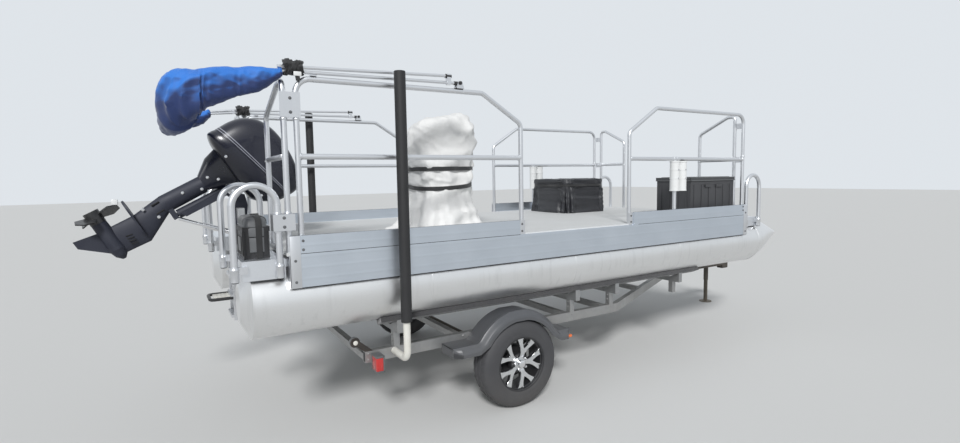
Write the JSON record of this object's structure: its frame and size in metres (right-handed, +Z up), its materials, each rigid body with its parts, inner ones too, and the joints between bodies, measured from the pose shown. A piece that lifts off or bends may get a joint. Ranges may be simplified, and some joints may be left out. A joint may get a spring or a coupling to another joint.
{
  "type": "pontoon boat on a road trailer",
  "caption": "Aluminium pontoon boat with tube rails, tilted outboard and stowed canopy, parked on its single-axle road trailer.",
  "frame": {"origin": "middle of the whole length and width, on the floor", "axes": "+X towards the bow and the coupler, +Y to port, +Z up"},
  "size_m": [7.7433, 2.6598, 2.692],
  "materials": {
    "hull_aluminium": "mill finish, weathered",
    "skirt_aluminium": "satin anodised",
    "rail_aluminium": "satin",
    "platform_aluminium": "satin",
    "deck_sheet": "light grey non-slip sheet",
    "white_plastic": "white moulded",
    "boot_cloth": "blue coated canvas",
    "helm_cloth": "white polyester cover",
    "bench_cloth": "dark grey coated cover",
    "box_resin": "ribbed dark resin",
    "battery_plastic": "black moulded",
    "cowl_paint": "dark navy gloss",
    "leg_paint": "dark navy gloss",
    "propeller_paint": "black",
    "trailer_zinc": "galvanised",
    "trailer_black": "black",
    "fender_plastic": "dark grey moulded",
    "bunk_carpet": "carpeted board",
    "guide_pipe": "white pipe",
    "guide_foam": "black foam sleeve",
    "lamp_red": "red lens",
    "tyre_rubber": "black",
    "rim_alloy": "machined face, black pockets"
  },
  "bodies": {
    "boat": {"pontoon_starboard": "hull_aluminium", "pontoon_port": "hull_aluminium", "deck_beams": "hull_aluminium", "end_closures": "hull_aluminium", "motor_pod": "hull_aluminium", "skirt_starboard": "skirt_aluminium", "skirt_port": "skirt_aluminium", "toe_boards": "skirt_aluminium", "side_rail_aft_starboard": "rail_aluminium", "side_rail_aft_port": "rail_aluminium", "side_rail_front_starboard": "rail_aluminium", "side_rail_front_port": "rail_aluminium", "stern_rails": "rail_aluminium", "bow_rails": "rail_aluminium", "rail_brackets": "rail_aluminium", "stern_hoops": "rail_aluminium", "bow_hoops": "rail_aluminium", "bimini_mounts": "rail_aluminium", "stern_platforms": "platform_aluminium", "bow_platforms": "platform_aluminium", "deck_panel": "deck_sheet", "rod_holders": "white_plastic", "console_cover": "helm_cloth", "bench_cover": "bench_cloth", "deck_box": "box_resin", "battery_box": "battery_plastic", "clamp_bracket": "leg_paint", "trailer_frame": "trailer_zinc", "cross_members": "trailer_zinc", "bunk_brackets": "trailer_zinc", "winch_stand": "trailer_zinc", "tongue": "trailer_black", "coupler": "trailer_black", "jack_sleeve": "trailer_black", "axle": "trailer_black", "leaf_springs": "trailer_black", "stern_rollers": "trailer_black", "fender_starboard": "fender_plastic", "fender_port": "fender_plastic", "bunk_boards": "bunk_carpet", "guide_arms": "guide_pipe", "guide_pads": "guide_foam", "tail_lights": "lamp_red"},
    "wheel_starboard": {"tyre_starboard": "tyre_rubber", "rim_starboard": "rim_alloy"},
    "wheel_port": {"tyre_port": "tyre_rubber", "rim_port": "rim_alloy"},
    "motor_swivel": {"motor_swivel": "leg_paint"},
    "motor": {"cowl_top": "cowl_paint", "cowl_base": "cowl_paint", "motor_leg": "leg_paint"},
    "propeller": {"propeller": "propeller_paint"},
    "bimini": {"bimini_bows": "rail_aluminium", "bimini_boot": "boot_cloth"},
    "box_lid": {"deck_box_lid": "box_resin"},
    "ladder": {"ladder": "rail_aluminium"},
    "jack_leg": {"jack_leg": "trailer_black"}
  },
  "joints": [
    {"name": "wheel_starboard_spin", "type": "hinge", "parent": "boat", "child": "wheel_starboard", "pos_m": [-0.84535, -1.1775, 0.374], "axis": [0, 1, 0], "continuous": true},
    {"name": "wheel_port_spin", "type": "hinge", "parent": "boat", "child": "wheel_port", "pos_m": [-0.84535, 1.1775, 0.374], "axis": [0, 1, 0], "continuous": true},
    {"name": "motor_tilt", "type": "hinge", "parent": "boat", "child": "motor_swivel", "pos_m": [-2.77035, 0, 1.79], "axis": [0, 1, 0], "range_deg": [-62, 5]},
    {"name": "motor_steer", "type": "hinge", "parent": "motor_swivel", "child": "motor", "pos_m": [-2.8173, 0, 1.87829], "axis": [0.8829, 0, 0.4695], "range_deg": [-30, 30]},
    {"name": "propeller_spin", "type": "hinge", "parent": "motor", "child": "propeller", "pos_m": [-3.73456, 0, 1.67146], "axis": [0.4695, 0, -0.8829], "continuous": true},
    {"name": "bimini_fold", "type": "hinge", "parent": "boat", "child": "bimini", "pos_m": [-1.33935, 0, 2.63], "axis": [0, 1, 0], "range_deg": [0, 80]},
    {"name": "lid_hinge", "type": "hinge", "parent": "boat", "child": "box_lid", "pos_m": [1.91465, -0.63, 1.828], "axis": [-1, 0, 0], "range_deg": [0, 95]},
    {"name": "ladder_fold", "type": "hinge", "parent": "boat", "child": "ladder", "pos_m": [-2.88535, -0.365, 1.32], "axis": [0, 1, 0], "range_deg": [0, 150]},
    {"name": "jack_slide", "type": "slide", "parent": "boat", "child": "jack_leg", "axis": [0, 0, 1], "range_m": [0, 0.25]}
  ]
}
